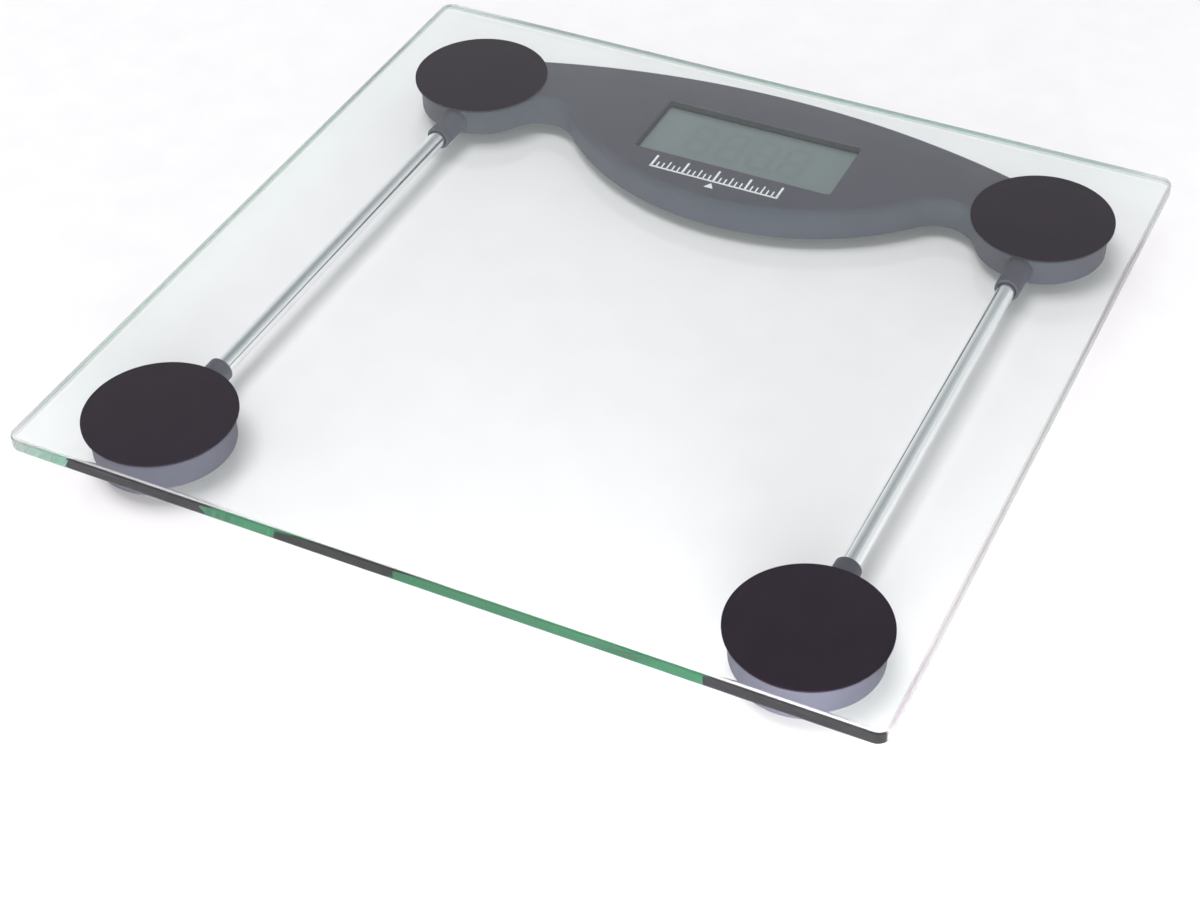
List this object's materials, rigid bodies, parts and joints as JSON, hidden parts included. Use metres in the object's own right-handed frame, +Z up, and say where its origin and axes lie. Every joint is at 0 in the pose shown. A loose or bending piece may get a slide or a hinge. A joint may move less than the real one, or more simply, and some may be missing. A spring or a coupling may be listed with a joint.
{
  "type": "bathroom scale",
  "caption": "Low digital bathroom scale: clear glass platform on round weighing feet, polished side tubes and a curved grey bridge with a display.",
  "frame": {"origin": "on the floor under the middle of the platform", "axes": "+X to the right, +Y towards the display, +Z up"},
  "size_m": [0.3024, 0.2928, 0.023],
  "materials": {
    "clear_glass": "clear tempered glass, polished, green in its edge",
    "grey_plastic": "satin moulded blue-grey plastic",
    "underside_plastic": "fine textured moulded plastic",
    "black_disc": "matt black adhesive pad",
    "polished_tube": "polished plated tube",
    "display": "grey-green reflective liquid crystal panel",
    "board": "green solder mask",
    "black_plastic": "black moulded plastic",
    "black_rubber": "matt rubber",
    "cell_steel": "nickel-plated steel",
    "cell_plate_steel": "zinc-plated spring steel",
    "screw_steel": "zinc-plated steel",
    "contact_metal": "plated spring strip",
    "silicone": "white silicone",
    "lead_sheath": "grey sheathed lead"
  },
  "bodies": {
    "scale": {"glass_platform": "clear_glass", "display_housing": "grey_plastic", "underside_cover": "underside_plastic", "battery_cell": "cell_steel", "battery_contact_negative": "contact_metal", "battery_contact_positive": "contact_metal", "unit_switch": "black_plastic", "lcd_panel": "display", "lcd_holder": "black_plastic", "zebra_strip": "black_rubber", "circuit_board": "board", "chip_blob": "black_plastic", "front_foot_housing_left": "grey_plastic", "connecting_tube_left": "polished_tube", "load_cell_lead_front_left": "lead_sheath", "load_cell_lead_rear_left": "lead_sheath", "cover_screw_left_1": "screw_steel", "cover_screw_left_2": "screw_steel", "cover_screw_left_3": "screw_steel", "board_screw_left_1": "screw_steel", "board_screw_left_2": "screw_steel", "front_foot_housing_right": "grey_plastic", "connecting_tube_right": "polished_tube", "load_cell_lead_front_right": "lead_sheath", "load_cell_lead_rear_right": "lead_sheath", "cover_screw_right_1": "screw_steel", "cover_screw_right_2": "screw_steel", "cover_screw_right_3": "screw_steel", "board_screw_right_1": "screw_steel", "board_screw_right_2": "screw_steel", "bonding_disc_front_left": "black_disc", "load_cell_front_left": "cell_plate_steel", "strain_gauge_front_left": "silicone", "bonding_disc_front_right": "black_disc", "load_cell_front_right": "cell_plate_steel", "strain_gauge_front_right": "silicone", "bonding_disc_rear_left": "black_disc", "load_cell_rear_left": "cell_plate_steel", "strain_gauge_rear_left": "silicone", "bonding_disc_rear_right": "black_disc", "load_cell_rear_right": "cell_plate_steel", "strain_gauge_rear_right": "silicone"},
    "unit_button": {"unit_button": "black_plastic"},
    "battery_door": {"battery_door": "underside_plastic"},
    "foot_front_left": {"foot_carrier_front_left": "underside_plastic", "foot_pad_front_left": "black_rubber"},
    "foot_front_right": {"foot_carrier_front_right": "underside_plastic", "foot_pad_front_right": "black_rubber"},
    "foot_rear_left": {"foot_carrier_rear_left": "underside_plastic", "foot_pad_rear_left": "black_rubber"},
    "foot_rear_right": {"foot_carrier_rear_right": "underside_plastic", "foot_pad_rear_right": "black_rubber"}
  },
  "joints": [
    {"name": "foot_front_left_press", "type": "slide", "parent": "scale", "child": "foot_front_left", "axis": [0, 0, 1], "range_m": [0, 0.0006], "stiffness_N_per_m": 3000, "springref_m": -0.003},
    {"name": "foot_front_right_press", "type": "slide", "parent": "scale", "child": "foot_front_right", "axis": [0, 0, 1], "range_m": [0, 0.0006], "stiffness_N_per_m": 3000, "springref_m": -0.003},
    {"name": "foot_rear_left_press", "type": "slide", "parent": "scale", "child": "foot_rear_left", "axis": [0, 0, 1], "range_m": [0, 0.0006], "stiffness_N_per_m": 3000, "springref_m": -0.003},
    {"name": "foot_rear_right_press", "type": "slide", "parent": "scale", "child": "foot_rear_right", "axis": [0, 0, 1], "range_m": [0, 0.0006], "stiffness_N_per_m": 3000, "springref_m": -0.003},
    {"name": "unit_button_press", "type": "slide", "parent": "scale", "child": "unit_button", "axis": [0, 0, 1], "range_m": [0, 0.0005], "stiffness_N_per_m": 400, "springref_m": -0.0005},
    {"name": "battery_door_hinge", "type": "hinge", "parent": "scale", "child": "battery_door", "pos_m": [0.0623, 0.12935, 0.00565], "axis": [1, 0, 0], "range_deg": [0, 100]}
  ]
}
